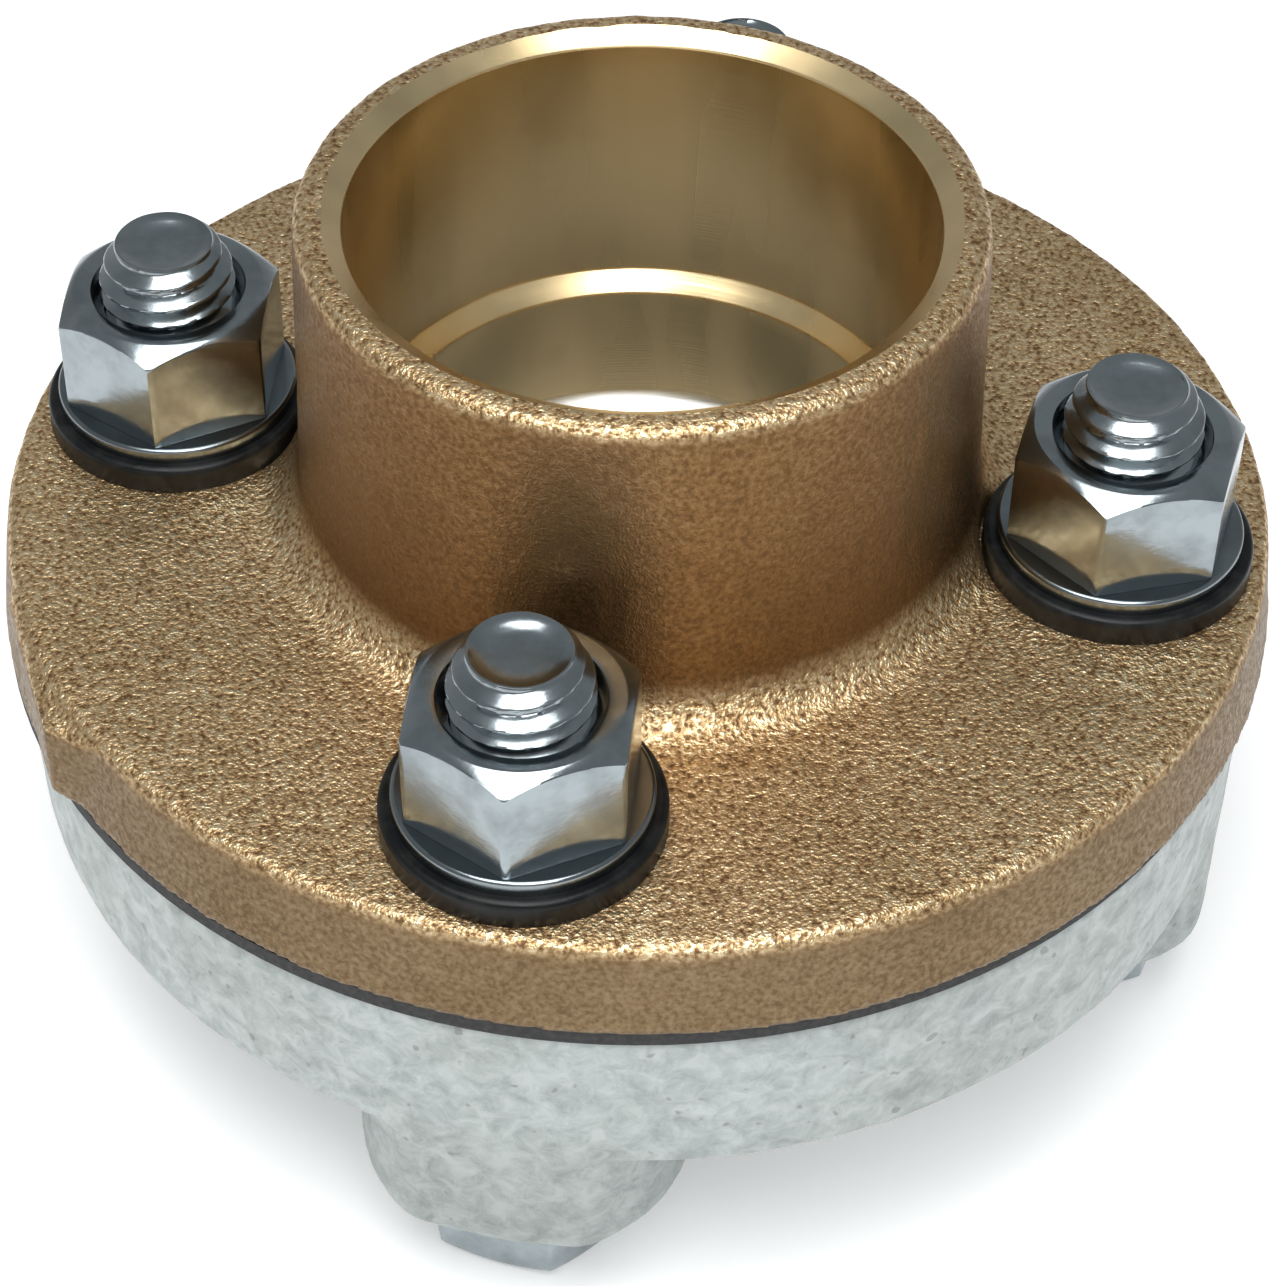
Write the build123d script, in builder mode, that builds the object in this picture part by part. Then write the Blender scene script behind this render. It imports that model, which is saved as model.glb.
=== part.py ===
from build123d import *
import os
from math import cos, radians, sin, sqrt, tan

# Four-bolt dielectric flange union: a bronze flange with a solder cup, bolted through
# insulating bushings and a gasket to a galvanised iron flange with a pipe thread.
# Millimetres, +Z up. The origin is on the pipe axis, in the end face of the iron hub,
# which is the face that the union stands on.

# ---- Iron flange ---------------------------------------------------------------------
iron_height = 51.5            # standing face to joint face
iron_rim_depth = 23.4         # joint face down to the underside of the rim
iron_rim_step = 1.35          # rim inside the bronze rim at the joint
iron_rim_draft = 0.8          # how much narrower the rim is at its underside
iron_rim_foot_round = 2.5
iron_rim_top_round = 0.8
iron_hub_wall = 5.9           # wall outside the thread at the standing face
iron_hub_draft = 1.4          # how much wider the hub is where it meets the rim
iron_hub_foot_round = 1.2
iron_hub_root_round = 5.0
boss_margin = 5.75            # casting boss outside the corners of the bolt head
boss_depth = 40.6             # joint face down to the seat of the bolt head
boss_edge_round = 4.2
boss_side_round = 6.0         # where a boss is cut off flush with the rim
boss_inset = 0.4              # outer side of a boss inside the rim's top edge
boss_cover = 6.0              # boss stops this far below the joint face
thread_step = 4.8             # wall at the thread's major radius, outside the waterway
thread_length = 28.5
thread_mouth = 1.0            # chamfer at the mouth of the thread
shoulder_height = 2.0         # cone from the thread up to the waterway
iron_seat_chamfer = 3.5       # bevel of the waterway at the joint face

# ---- Joint ---------------------------------------------------------------------------
gasket_thickness = 2.0
gasket_setback = 0.75         # gasket inside the bronze rim
gasket_shift = 0.5            # gasket lies off-centre, away from +X
gasket_bevel_margin = 0.6     # gasket bore outside the bevel of the iron
gasket_hole_margin = 1.0      # gasket hole outside the bolt

# ---- Bronze flange -------------------------------------------------------------------
bronze_thickness = 12.1
bronze_foot_r = 75.95         # rim radius at the joint
bronze_rim_draft = 1.55       # how much narrower the rim is at its upper face
bronze_rim_round = 1.2
cup_r = 33.37                 # solder cup for nominal 2 1/2 in tube
cup_depth = 34.4
cup_rise = 40.0               # upper face of the flange to the lip of the cup
cup_bevel_width = 2.35
cup_bevel_height = 1.5
cup_stop = 2.27               # step that stops the tube, down to the waterway
cup_wall = 5.53               # wall of the cup at its lip
cup_draft = 1.3               # how much wider the cup is where its root fillet begins
lip_round = 1.9
cup_root_round = 6.0
spot_face_margin = 0.35       # flat cut into the root fillet round each collar
lug_angle = -162.0            # way that the flat of the cut-off feeder faces
lug_inset = 0.75              # its flat lies this far inside the foot of the rim
lug_start = 3.0               # flat runs back past its own normal
lug_length = 20.2             # flat from its normal to the corner of the lug
lug_return = 4.0              # end face from the corner back to the rim
lug_return_depth = 4.1
lug_bury = 9.2
lug_chamfer = 0.8             # corner of the lug, seen from above

# ---- Bolting, 5/8-11 -----------------------------------------------------------------
bolt_count = 4
bolt_gap = 1.05               # between a bushing's collar and the wall of the cup
first_bolt_angle = -102.0
bolt_r = 15.875 / 2
thread_pitch = 25.4 / 11
bolt_length = 79.4            # seat of the head to the point
bolt_point_chamfer = 1.6875
bolt_point_length = 3.6        # taper of the point
hex_width = 23.81             # across flats, head and nut alike
head_height = 9.9
head_collar_height = 0.5      # round bearing face under the head
hex_face_share = 0.94         # round face of a hexagon, as a share of its width
hex_chamfer_angle = 30.0
nut_height = 13.6
nut_countersink = 0.65
washer_margin = 0.5           # washer outside the corners of the nut
washer_thickness = 1.8
washer_round = 0.5
collar_margin = 1.4           # collar of the insulating bushing outside the washer
collar_height = 3.3
collar_round = 0.8
sleeve_wall = 1.6
sleeve_stop = 0.3             # sleeve ends this far above the gasket

head_angles = (-77.7, 10.0, 41.0, -22.0)
nut_angles = (-95.9, -107.0, -80.0, -94.5)

# ---- Clearances ----------------------------------------------------------------------
nut_running = 0.05            # radial, nut on the bolt's major radius
sleeve_clearance = 0.3        # radial, bolt in the sleeve
iron_clearance = 0.4          # radial, bolt in the iron flange
washer_clearance = 0.45       # radial, bolt in the washer
bushing_fit = 0.1             # radial, sleeve in the bronze flange

# ---- Levels and radii that follow ----------------------------------------------------
rim_underside = iron_height - iron_rim_depth
head_seat = iron_height - boss_depth
head_underside = head_seat - head_height
bronze_underside = iron_height + gasket_thickness
bronze_face = bronze_underside + bronze_thickness
cup_lip = bronze_face + cup_rise
cup_floor = cup_lip - cup_depth
washer_seat = bronze_face + collar_height
nut_seat = washer_seat + washer_thickness
bolt_point = head_seat + bolt_length
waterway_r = cup_r - cup_stop
thread_wall_r = waterway_r + thread_step
iron_hub_foot_r = thread_wall_r + iron_hub_wall
iron_hub_root_r = iron_hub_foot_r + iron_hub_draft
lip_r = cup_r + cup_wall
cup_root_r = lip_r + cup_draft
bronze_top_r = bronze_foot_r - bronze_rim_draft
iron_rim_top_r = bronze_foot_r - iron_rim_step
iron_rim_foot_r = iron_rim_top_r - iron_rim_draft
gasket_outer_r = bronze_foot_r - gasket_setback
gasket_bore_r = waterway_r + iron_seat_chamfer + gasket_bevel_margin
lug_reach = bronze_foot_r - lug_inset
hex_corner_r = hex_width / sqrt(3)
washer_r = hex_corner_r + washer_margin
collar_r = washer_r + collar_margin
boss_r = hex_corner_r + boss_margin
boss_reach = iron_rim_top_r - boss_inset
bolt_circle_r = cup_root_r + bolt_gap + collar_r
bolt_point_r = bolt_r - bolt_point_chamfer
sleeve_bore_r = bolt_r + sleeve_clearance
sleeve_r = sleeve_bore_r + sleeve_wall
hex_face_r = hex_face_share * hex_width / 2
hex_chamfer_height = (hex_corner_r - hex_face_r) * tan(radians(hex_chamfer_angle))
axis_side = Plane.XZ


def bolt_centre(index):
    """X and Y of a bolt on the bolt circle."""
    angle = radians(first_bolt_angle + index * 360 / bolt_count)
    return bolt_circle_r * cos(angle), bolt_circle_r * sin(angle)


def side_plane(index):
    """Upright plane through a bolt: its X is the radius and its Y is the height."""
    x, y = bolt_centre(index)
    return Plane(origin=(x, y, 0), x_dir=(1, 0, 0), z_dir=(0, -1, 0))


def hex_plane(index, height, corner_angle):
    """Level plane on a bolt, turned so that a corner of a hexagon lies at the angle."""
    x, y = bolt_centre(index)
    angle = radians(corner_angle)
    return Plane(origin=(x, y, height), x_dir=(cos(angle), sin(angle), 0))


def bolt_axis(index):
    """Upright axis of a bolt."""
    x, y = bolt_centre(index)
    return Axis((x, y, 0), (0, 0, 1))


def round_corner(sketch, radius, height, rounding):
    """Round the corner of a profile that lies nearest to a radius and a height."""
    corner = sketch.vertices().sort_by_distance((radius, height, 0))[0]
    fillet(corner, radius=rounding)


def save(part, name):
    """Label a finished piece and write it."""
    part.label = name
    export_step(part, f"parts/{name}.step")


os.makedirs("parts", exist_ok=True)

# ---- Bronze solder flange ------------------------------------------------------------
ledge_height = cup_r - waterway_r
with BuildPart() as solder_flange:
    with BuildSketch(axis_side) as profile:
        with BuildLine():
            Polyline(
                (waterway_r, bronze_underside),
                (bronze_foot_r, bronze_underside),
                (bronze_top_r, bronze_face),
                (cup_root_r, bronze_face),
                (lip_r, cup_lip),
                (cup_r + cup_bevel_width, cup_lip),
                (cup_r, cup_lip - cup_bevel_height),
                (cup_r, cup_floor),
                (waterway_r, cup_floor - ledge_height),
                close=True,
            )
        make_face()
        round_corner(profile, bronze_top_r, bronze_face, bronze_rim_round)
        round_corner(profile, cup_root_r, bronze_face, cup_root_round)
        round_corner(profile, lip_r, cup_lip, lip_round)
    revolve(axis=Axis.Z)
    lug_x = (cos(radians(lug_angle)), sin(radians(lug_angle)), 0)
    with BuildSketch(Plane(origin=(0, 0, bronze_underside), x_dir=lug_x)):
        with BuildLine():
            Polyline(
                (lug_reach - lug_bury, -lug_start),
                (lug_reach, -lug_start),
                (lug_reach, lug_length - lug_chamfer),
                (lug_reach - lug_chamfer, lug_length),
                (lug_reach - lug_return_depth, lug_length + lug_return),
                (lug_reach - lug_bury, lug_length + lug_return),
                close=True,
            )
        make_face()
    extrude(amount=bronze_thickness - bronze_rim_round)
    with BuildSketch(Plane.XY.offset(bronze_face)):
        with PolarLocations(bolt_circle_r, bolt_count, start_angle=first_bolt_angle):
            Circle(collar_r + spot_face_margin)
    extrude(amount=cup_root_round, mode=Mode.SUBTRACT)
    with BuildSketch(Plane.XY.offset(bronze_face)):
        with PolarLocations(bolt_circle_r, bolt_count, start_angle=first_bolt_angle):
            Circle(sleeve_r + bushing_fit)
    extrude(amount=-bronze_thickness, mode=Mode.SUBTRACT)
save(solder_flange.part, "solder_flange")

# ---- Iron threaded flange ------------------------------------------------------------
with BuildPart() as threaded_flange:
    with BuildSketch(Plane.XY.offset(head_seat)) as bosses:
        with PolarLocations(bolt_circle_r, bolt_count, start_angle=first_bolt_angle):
            Circle(boss_r)
        if bolt_circle_r + boss_r > boss_reach:
            Circle(boss_reach, mode=Mode.INTERSECT)
            fillet(bosses.vertices(), radius=boss_side_round)
    extrude(amount=boss_depth - boss_cover)
    boss_feet = faces().filter_by(Axis.Z).group_by(Axis.Z)[0]
    fillet(boss_feet.edges(), radius=boss_edge_round)
    with BuildSketch(axis_side) as profile:
        with BuildLine():
            Polyline(
                (thread_wall_r + thread_mouth, 0),
                (iron_hub_foot_r, 0),
                (iron_hub_root_r, rim_underside),
                (iron_rim_foot_r, rim_underside),
                (iron_rim_top_r, iron_height),
                (waterway_r + iron_seat_chamfer, iron_height),
                (waterway_r, iron_height - iron_seat_chamfer),
                (waterway_r, thread_length + shoulder_height),
                (thread_wall_r, thread_length),
                (thread_wall_r, thread_mouth),
                close=True,
            )
        make_face()
        round_corner(profile, iron_hub_foot_r, 0, iron_hub_foot_round)
        round_corner(profile, iron_hub_root_r, rim_underside, iron_hub_root_round)
        round_corner(profile, iron_rim_foot_r, rim_underside, iron_rim_foot_round)
        round_corner(profile, iron_rim_top_r, iron_height, iron_rim_top_round)
    revolve(axis=Axis.Z)
    with BuildSketch(Plane.XY.offset(iron_height)):
        with PolarLocations(bolt_circle_r, bolt_count, start_angle=first_bolt_angle):
            Circle(bolt_r + iron_clearance)
    extrude(amount=-boss_depth, mode=Mode.SUBTRACT)
    with BuildSketch(Plane.XY.offset(thread_length)):
        Circle(thread_wall_r)
    extrude(amount=-thread_length, mode=Mode.SUBTRACT)
save(threaded_flange.part, "threaded_flange")

# ---- Insulating gasket ---------------------------------------------------------------
with BuildPart() as insulating_gasket:
    with BuildSketch(Plane(origin=(-gasket_shift, 0, iron_height))):
        Circle(gasket_outer_r)
        Circle(gasket_bore_r, mode=Mode.SUBTRACT)
        with PolarLocations(bolt_circle_r, bolt_count, start_angle=first_bolt_angle):
            Circle(bolt_r + gasket_hole_margin, mode=Mode.SUBTRACT)
    extrude(amount=gasket_thickness)
save(insulating_gasket.part, "insulating_gasket")

# ---- Bolting: one bushing, washer, bolt and nut at each place ------------------------
for index in range(bolt_count):
    number = index + 1
    side = side_plane(index)
    upright = bolt_axis(index)

    with BuildPart() as bushing:
        with BuildSketch(side) as profile:
            with BuildLine():
                Polyline(
                    (sleeve_bore_r, bronze_underside + sleeve_stop),
                    (sleeve_r, bronze_underside + sleeve_stop),
                    (sleeve_r, bronze_face),
                    (collar_r, bronze_face),
                    (collar_r, washer_seat),
                    (sleeve_bore_r, washer_seat),
                    close=True,
                )
            make_face()
            round_corner(profile, collar_r, washer_seat, collar_round)
        revolve(axis=upright)
    save(bushing.part, f"insulating_bushing_{number}")

    with BuildPart() as washer:
        with BuildSketch(side) as profile:
            with BuildLine():
                Polyline(
                    (bolt_r + washer_clearance, washer_seat),
                    (washer_r, washer_seat),
                    (washer_r, nut_seat),
                    (bolt_r + washer_clearance, nut_seat),
                    close=True,
                )
            make_face()
            round_corner(profile, washer_r, nut_seat, washer_round)
        revolve(axis=upright)
    save(washer.part, f"washer_{number}")

    with BuildPart() as bolt:
        with BuildSketch(hex_plane(index, head_underside, head_angles[index])):
            RegularPolygon(hex_corner_r, 6)
        extrude(amount=head_height - head_collar_height)
        with BuildSketch(side):
            with BuildLine():
                Polyline(
                    (0, head_underside),
                    (hex_face_r, head_underside),
                    (hex_corner_r, head_underside + hex_chamfer_height),
                    (hex_corner_r, head_seat),
                    (0, head_seat),
                    close=True,
                )
            make_face()
        revolve(axis=upright, mode=Mode.INTERSECT)
        with BuildSketch(side):
            with BuildLine():
                Polyline(
                    (0, head_seat - head_collar_height),
                    (hex_face_r, head_seat - head_collar_height),
                    (hex_face_r, head_seat),
                    (bolt_r, head_seat),
                    (bolt_r, bolt_point - bolt_point_length),
                    (bolt_point_r, bolt_point),
                    (0, bolt_point),
                    close=True,
                )
            make_face()
        revolve(axis=upright)
    save(bolt.part, f"bolt_{number}")

    nut_bore_r = bolt_r + nut_running
    nut_top = nut_seat + nut_height
    with BuildPart() as nut:
        with BuildSketch(hex_plane(index, nut_seat, nut_angles[index])):
            RegularPolygon(hex_corner_r, 6)
        extrude(amount=nut_height)
        with BuildSketch(side):
            with BuildLine():
                Polyline(
                    (nut_bore_r + nut_countersink, nut_seat),
                    (hex_corner_r, nut_seat),
                    (hex_corner_r, nut_top - hex_chamfer_height),
                    (hex_face_r, nut_top),
                    (nut_bore_r + nut_countersink, nut_top),
                    (nut_bore_r, nut_top - nut_countersink),
                    (nut_bore_r, nut_seat + nut_countersink),
                    close=True,
                )
            make_face()
        revolve(axis=upright, mode=Mode.INTERSECT)
    save(nut.part, f"nut_{number}")
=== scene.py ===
"""Visual model of a four-bolt insulating flange union.

A bronze flange with a solder cup is bolted through insulating bushings and a gasket to
a galvanised iron flange with a pipe thread.  Metres, +Z up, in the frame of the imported
part: the origin is on the pipe axis, in the face that the union stands on.
"""

import logging
import math
from dataclasses import dataclass, field
from enum import Enum
from typing import Sequence

import bmesh
import bpy
import numpy as np
from mathutils import Matrix, Vector, noise


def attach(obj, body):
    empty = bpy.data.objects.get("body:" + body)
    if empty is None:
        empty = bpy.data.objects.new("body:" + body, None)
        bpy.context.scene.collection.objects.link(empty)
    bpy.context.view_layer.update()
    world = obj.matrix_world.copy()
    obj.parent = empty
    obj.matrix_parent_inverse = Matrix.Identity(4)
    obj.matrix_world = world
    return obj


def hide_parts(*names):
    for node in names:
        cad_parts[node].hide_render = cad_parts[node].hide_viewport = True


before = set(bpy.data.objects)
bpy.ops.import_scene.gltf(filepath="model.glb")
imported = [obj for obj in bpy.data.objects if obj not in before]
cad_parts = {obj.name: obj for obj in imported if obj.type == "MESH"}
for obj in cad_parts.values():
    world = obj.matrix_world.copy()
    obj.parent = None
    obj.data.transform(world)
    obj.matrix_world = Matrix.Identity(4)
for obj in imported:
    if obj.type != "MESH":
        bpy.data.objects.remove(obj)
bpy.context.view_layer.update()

log = logging.getLogger("flange_union")
logging.basicConfig(level=logging.INFO, format="%(name)s: %(message)s")

MM = 0.001
TURN = 2 * math.pi
CUT_CORNER = math.radians(52)  # an edge that turns by more is never shaded smooth
SAME_PLACE = 1e-6
PAST = 3 * MM  # how far a cutter reaches beyond what it cuts
FILL_MARGIN = 0.8 * MM  # how much wider than its hole a filler is
HEX_FLATS_MM = 23.81
HEX_CORNER_MM = HEX_FLATS_MM / math.sqrt(3)
BOLT_RADIUS_MM = 15.875 / 2
CUP_ROOT_MM = 40.2
CUP_GAP_MM = 1.05
HEAD_GAP_MM = 1.9
SHARP_TURN = math.radians(38)
WHITE = (1.0, 1.0, 1.0)
Point = tuple[float, float]
Place = tuple[float, float, float]
Colour = tuple[float, float, float]


# ---- Sizes that several pieces share -------------------------------------------------
@dataclass(frozen=True)
class BoltPattern:
    """Where the bolts stand and the thread they carry."""

    circle_radius: float = (
        CUP_ROOT_MM + CUP_GAP_MM + HEAD_GAP_MM + HEX_CORNER_MM
    ) * MM
    first_angle: float = math.radians(-102)
    count: int = 4
    radius: float = 7.92 * MM
    pitch: float = 25.4 / 11 * MM
    across_flats: float = HEX_FLATS_MM * MM
    face_share: float = 0.94
    head_seat: float = 10.9 * MM
    nut_seat: float = 70.7 * MM
    point: float = 90.3 * MM
    depth_share: float = 0.6134
    root_end: float = 0.90
    flank_share: float = 0.74

    def centre(self, index: int) -> tuple[float, float]:
        """Place one bolt of the pattern.

        Args:
            index: Number of the bolt, from 0.

        Returns:
            X and Y of its axis.
        """
        angle = self.first_angle + index * TURN / self.count
        return (self.circle_radius * math.cos(angle),
                self.circle_radius * math.sin(angle))

    def thread_radius(self, theta: np.ndarray, height: np.ndarray) -> np.ndarray:
        """Radius of the right-hand thread's surface round a bolt.

        Args:
            theta: Angle round the bolt.
            height: Height above the seat of the bolt head.

        Returns:
            The radius, between the root and the crest.
        """
        phase = np.mod(height / self.pitch - theta / TURN, 1.0)
        depth = self.depth_share * self.pitch
        flank = np.abs(phase - 0.5) * 2
        share = np.clip((self.root_end - flank) / self.flank_share, 0, 1)
        return self.radius - depth * share


BOLTS = BoltPattern()


# ---- Mesh helpers --------------------------------------------------------------------
def link_mesh(name: str, mesh: bpy.types.Mesh) -> bpy.types.Object:
    """Put a mesh into the scene as an object of that name.

    Args:
        name: Name of the object.
        mesh: Its mesh.

    Returns:
        The new object.
    """
    obj = bpy.data.objects.new(name, mesh)
    bpy.context.scene.collection.objects.link(obj)
    return obj


def soften(corners: Sequence[tuple[float, float, float]], steps: int = 4,
           most: float = 0.48) -> list[Point]:
    """Round the corners of an open outline.

    Args:
        corners: Radius, height and rounding of each corner; the ends stay sharp.
        steps: Points on each rounded corner, less one.
        most: Share of a run that the rounding of one end may take.

    Returns:
        Radius and height of each point of the softened outline.
    """
    points: list[Point] = []
    for index, (radius, height, rounding) in enumerate(corners):
        here = np.array((radius, height))
        if rounding <= 0 or index in (0, len(corners) - 1):
            points.append((radius, height))
            continue
        before = np.array(corners[index - 1][:2]) - here
        after = np.array(corners[index + 1][:2]) - here
        reach = min(rounding, most * np.linalg.norm(before),
                    most * np.linalg.norm(after))
        start = here + before / np.linalg.norm(before) * reach
        end = here + after / np.linalg.norm(after) * reach
        for step in range(steps + 1):
            t = step / steps
            point = (1 - t) ** 2 * start + 2 * t * (1 - t) * here + t**2 * end
            points.append((float(point[0]), float(point[1])))
    return points


def refine(points: Sequence[Point], spacing: float) -> list[Point]:
    """Divide the long runs of an outline so that no step is above the spacing.

    Args:
        points: Radius and height of each point.
        spacing: Longest step allowed.

    Returns:
        The outline with the added points.
    """
    result = [points[0]]
    for (r0, z0), (r1, z1) in zip(points, points[1:]):
        count = max(1, math.ceil(math.hypot(r1 - r0, z1 - z0) / spacing))
        result += [
            (r0 + (r1 - r0) * k / count, z0 + (z1 - z0) * k / count)
            for k in range(1, count + 1)
        ]
    return result


def polar_mesh(name: str, rows: np.ndarray, loop: bool) -> bpy.types.Mesh:
    """Make a closed mesh from rows of points round an axis.

    Args:
        name: Name of the mesh.
        rows: Array of rows by places round the axis by XYZ.
        loop: True joins the last row to the first, as round a bore; False closes each
            end with a fan to a point on the axis.

    Returns:
        The mesh, with its faces turned outwards.
    """
    count, around = rows.shape[:2]
    vertices = rows.reshape(-1, 3)
    index = np.arange(count * around).reshape(count, around)
    upper = np.vstack((index[1:], index[:1])) if loop else index[1:]
    lower = index if loop else index[:-1]
    quads = np.stack(
        (lower, np.roll(lower, -1, 1), np.roll(upper, -1, 1), upper), axis=-1
    ).reshape(-1, 4)
    faces = quads.tolist()
    points = vertices.tolist()
    if not loop:
        for row, turn in ((0, -1), (count - 1, 1)):
            points.append(rows[row].mean(axis=0).tolist())
            pole = len(points) - 1
            ring = index[row]
            following = np.roll(ring, -1)
            for a, b in zip(ring.tolist(), following.tolist()):
                faces.append((a, b, pole) if turn > 0 else (b, a, pole))
    mesh = bpy.data.meshes.new(name)
    mesh.from_pydata(points, [], faces)
    shape = bmesh.new()
    shape.from_mesh(mesh)
    bmesh.ops.recalc_face_normals(shape, faces=shape.faces)
    if shape.calc_volume(signed=True) < 0:
        bmesh.ops.reverse_faces(shape, faces=shape.faces)
    shape.to_mesh(mesh)
    shape.free()
    return mesh


def turned_rows(points: Sequence[Point], around: int) -> np.ndarray:
    """Sweep an outline of radius and height round the Z axis.

    Args:
        points: Radius and height of each point.
        around: Places round the axis.

    Returns:
        Array of outline points by places by XYZ.
    """
    theta = np.arange(around) * TURN / around
    outline = np.array(points)
    return np.stack(
        (
            outline[:, :1] * np.cos(theta),
            outline[:, :1] * np.sin(theta),
            np.repeat(outline[:, 1:], around, axis=1),
        ),
        axis=-1,
    )


def cylinder(name: str, radius: float, low: float, high: float, x: float = 0.0,
             y: float = 0.0, around: int = 96) -> bpy.types.Object:
    """Make an upright closed cylinder, used to fill or to cut a hole.

    Args:
        name: Name of the helper.
        radius: Its radius.
        low: Height of its lower end.
        high: Height of its upper end.
        x: X of its axis.
        y: Y of its axis.
        around: Places round it.

    Returns:
        The helper object.
    """
    rows = turned_rows([(radius, low), (radius, high)], around)
    rows[..., 0] += x
    rows[..., 1] += y
    return link_mesh(name, polar_mesh(name, rows, loop=False))


def bake_modifiers(obj: bpy.types.Object) -> None:
    """Replace an object's mesh by its evaluated mesh and drop its modifiers.

    Args:
        obj: Object to change.
    """
    graph = bpy.context.evaluated_depsgraph_get()
    mesh = bpy.data.meshes.new_from_object(obj.evaluated_get(graph))
    obj.modifiers.clear()
    obj.data = mesh


def discard(*objects: bpy.types.Object) -> None:
    """Remove helper objects from the scene."""
    for obj in objects:
        bpy.data.objects.remove(obj)


def cut(obj: bpy.types.Object, *cutters: bpy.types.Object) -> None:
    """Cut closed bodies away from an object, and remove them.

    Args:
        obj: Piece to machine.
        cutters: What is cut away, in this order.
    """
    for cutter in cutters:
        modifier = obj.modifiers.new("cut", "BOOLEAN")
        modifier.operation = "DIFFERENCE"
        modifier.solver = "MANIFOLD"
        modifier.object = cutter
        before = len(obj.data.polygons)
        bake_modifiers(obj)
        log.info("%s: %s took it from %d to %d faces", obj.name, cutter.name, before,
                 len(obj.data.polygons))
        discard(cutter)
    weld(obj.data)


def weld(mesh: bpy.types.Mesh, reach: float = 0.002 * MM) -> None:
    """Join the corners that a cut left close together, and drop the slivers there.

    Args:
        mesh: Mesh to change.
        reach: Corners nearer than this become one.
    """
    shape = bmesh.new()
    shape.from_mesh(mesh)
    bmesh.ops.remove_doubles(shape, verts=shape.verts, dist=reach)
    bmesh.ops.dissolve_degenerate(shape, dist=reach, edges=shape.edges)
    shape.to_mesh(mesh)
    shape.free()


def cast_skin(name: str, node: str, fillers: Sequence[bpy.types.Object], voxel: float,
              relax: int) -> bpy.types.Object:
    """Turn a CAD solid into an even mesh with the soft edges of a sand casting.

    Args:
        name: Name of the new piece.
        node: CAD node whose solid is followed.
        fillers: Closed solids that fill its machined holes; they are removed.
        voxel: Edge of the even mesh.
        relax: Passes of smoothing.

    Returns:
        The casting before machining.
    """
    shape = bmesh.new()
    shape.from_mesh(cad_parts[node].data)
    for filler in fillers:
        shape.from_mesh(filler.data)
    bmesh.ops.remove_doubles(shape, verts=shape.verts, dist=SAME_PLACE)
    mesh = bpy.data.meshes.new(name)
    shape.to_mesh(mesh)
    shape.free()
    obj = link_mesh(name, mesh)
    remesh = obj.modifiers.new("casting", "REMESH")
    remesh.mode = "VOXEL"
    remesh.voxel_size = voxel
    remesh.use_smooth_shade = True
    smooth = obj.modifiers.new("draw", "SMOOTH")
    smooth.factor = 0.5
    smooth.iterations = relax
    bake_modifiers(obj)
    obj.data.materials.clear()
    discard(*fillers)
    return obj


def ripple(obj: bpy.types.Object, depths: Sequence[tuple[float, float]], seed: float,
           reach: float) -> None:
    """Make a cast surface uneven about its nominal form.

    Args:
        obj: Piece to change.
        depths: Wavelength and depth of each layer of unevenness.
        seed: Offset into the noise, so that two castings differ.
        reach: Radius from the pipe axis that the surface never passes.
    """
    mesh = obj.data
    count = len(mesh.vertices)
    places = np.empty(count * 3, np.float32)
    mesh.vertices.foreach_get("co", places)
    places = places.reshape(-1, 3)
    normals = np.empty(count * 3, np.float32)
    mesh.vertices.foreach_get("normal", normals)
    low, high = places[:, 2].min(), places[:, 2].max()
    outside = np.maximum(np.hypot(places[:, 0], places[:, 1]), reach)
    sink = np.zeros(count)
    for layer, (wavelength, depth) in enumerate(depths):
        offset = Vector((seed + layer * 3.7, seed * 0.5, layer * 1.9))
        scaled = (places / wavelength).tolist()
        values = np.fromiter(
            (noise.noise(Vector(place) + offset) for place in scaled), float, count
        )
        sink += depth * values
    places += normals.reshape(-1, 3) * sink[:, None].astype(np.float32)
    radius = np.hypot(places[:, 0], places[:, 1])
    places[:, :2] *= np.minimum(1, outside / np.maximum(radius, MM))[:, None]
    places[:, 2] = np.clip(places[:, 2], low, high)
    mesh.vertices.foreach_set("co", places.ravel())
    mesh.update()


def coat(mesh: bpy.types.Mesh, *materials: bpy.types.Material) -> None:
    """Give a mesh these materials alone.

    Args:
        mesh: Mesh to change.
        materials: Its materials, in the order of their slots.
    """
    mesh.materials.clear()
    for material in materials:
        mesh.materials.append(material)


def crease(
    mesh: bpy.types.Mesh, angle: float, machined_slot: int | None = None
) -> None:
    """Shade a mesh smooth with sharp edges.

    Args:
        mesh: Mesh to change.
        angle: Edges that turn by more than this are sharp.
        machined_slot: If given, only edges beside a face of this material slot.
    """
    shape = bmesh.new()
    shape.from_mesh(mesh)
    for face in shape.faces:
        face.smooth = True
    for edge in shape.edges:
        faces = edge.link_faces
        if len(faces) != 2:
            continue
        beside = machined_slot is None or any(
            f.material_index == machined_slot for f in faces
        )
        turn = edge.calc_face_angle(0.0)
        edge.smooth = not ((beside and turn > angle) or turn > CUT_CORNER)
    shape.to_mesh(mesh)
    shape.free()


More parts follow.
